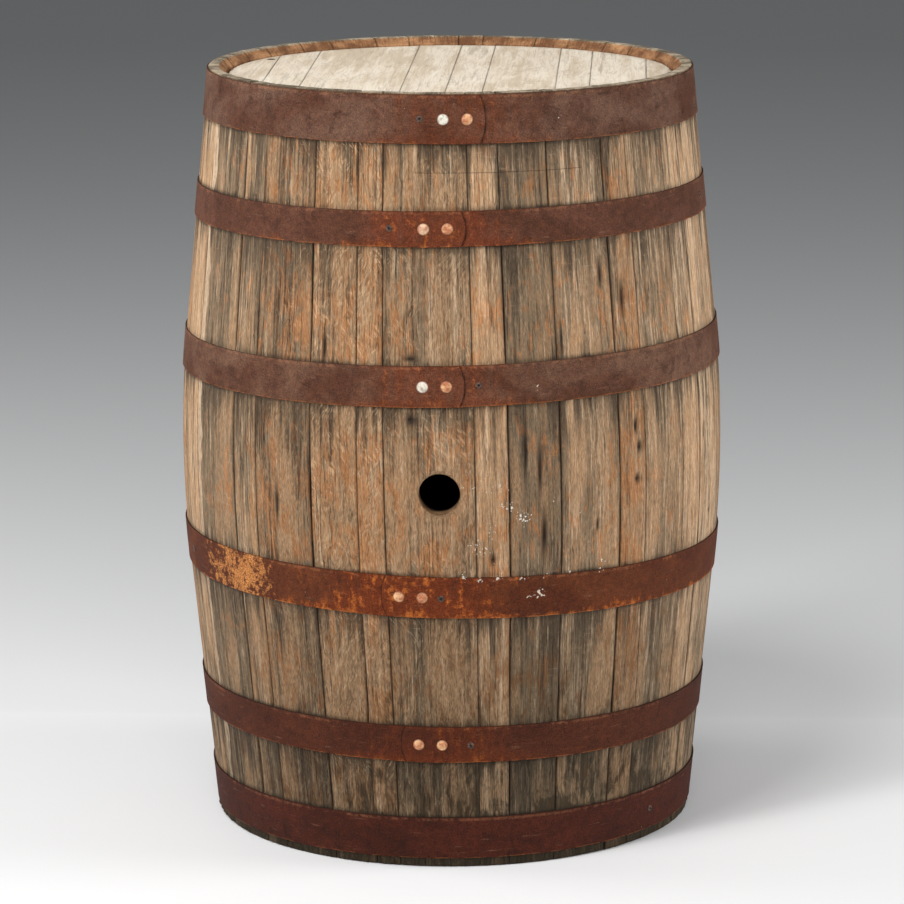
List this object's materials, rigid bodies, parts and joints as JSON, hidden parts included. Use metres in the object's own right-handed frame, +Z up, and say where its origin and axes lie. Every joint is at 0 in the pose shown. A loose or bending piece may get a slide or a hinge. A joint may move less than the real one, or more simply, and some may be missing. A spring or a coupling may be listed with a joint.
{
  "type": "oak barrel",
  "caption": "Upright bulging oak barrel of bent staves with flat board heads, riveted steel hoops and an open round bung hole in the side.",
  "frame": {"origin": "middle of the floor the barrel stands on, on its long axis", "axes": "+Z up along the barrel, -Y out through the bung hole, +X to the right of it"},
  "size_m": [0.644, 0.6446, 0.9],
  "materials": {
    "stave_oak": "weathered oak, grey-brown with dark streaks along the grain and iron stains by the hoops",
    "top_head_oak": "sun-bleached pale oak, dry and slightly stained",
    "bottom_head_oak": "weathered oak, darker than the top, with dust and damp marks",
    "hoop_steel": "flat strip covered all over in dark red-brown rust, brighter orange along the edges",
    "rivet_steel": "domed heads, some still zinc white and some rusted orange",
    "screw_steel": "small dark heads with a drive recess",
    "dowel_wood": "plain turned pins, out of sight between the head boards"
  },
  "bodies": {
    "root": {"stave_01": "stave_oak", "stave_02": "stave_oak", "stave_03": "stave_oak", "stave_04": "stave_oak", "stave_05": "stave_oak", "stave_06": "stave_oak", "stave_07": "stave_oak", "stave_08": "stave_oak", "stave_09": "stave_oak", "stave_10": "stave_oak", "stave_11": "stave_oak", "stave_12": "stave_oak", "stave_13": "stave_oak", "stave_14": "stave_oak", "stave_15": "stave_oak", "stave_16": "stave_oak", "stave_17": "stave_oak", "stave_18": "stave_oak", "stave_19": "stave_oak", "stave_20": "stave_oak", "stave_21": "stave_oak", "stave_22": "stave_oak", "stave_23": "stave_oak", "stave_24": "stave_oak", "stave_25": "stave_oak", "stave_26": "stave_oak", "stave_27": "stave_oak", "stave_28": "stave_oak", "stave_29": "stave_oak", "stave_30": "stave_oak", "stave_31": "stave_oak", "stave_32": "stave_oak", "top_head_board_1": "top_head_oak", "top_head_board_2": "top_head_oak", "top_head_board_3": "top_head_oak", "top_head_board_4": "top_head_oak", "top_head_board_5": "top_head_oak", "top_head_board_6": "top_head_oak", "top_head_board_7": "top_head_oak", "top_head_board_8": "top_head_oak", "top_head_board_9": "top_head_oak", "bottom_head_board_1": "bottom_head_oak", "bottom_head_board_2": "bottom_head_oak", "bottom_head_board_3": "bottom_head_oak", "bottom_head_board_4": "bottom_head_oak", "bottom_head_board_5": "bottom_head_oak", "bottom_head_board_6": "bottom_head_oak", "bottom_head_board_7": "bottom_head_oak", "bottom_head_board_8": "bottom_head_oak", "bottom_head_board_9": "bottom_head_oak", "hoop_top_head": "hoop_steel", "hoop_top_quarter": "hoop_steel", "hoop_top_bilge": "hoop_steel", "hoop_bottom_bilge": "hoop_steel", "hoop_bottom_quarter": "hoop_steel", "hoop_bottom_head": "hoop_steel", "hoop_rivets": "rivet_steel", "hoop_screws": "screw_steel", "top_head_dowels": "dowel_wood", "bottom_head_dowels": "dowel_wood"}
  },
  "joints": []
}
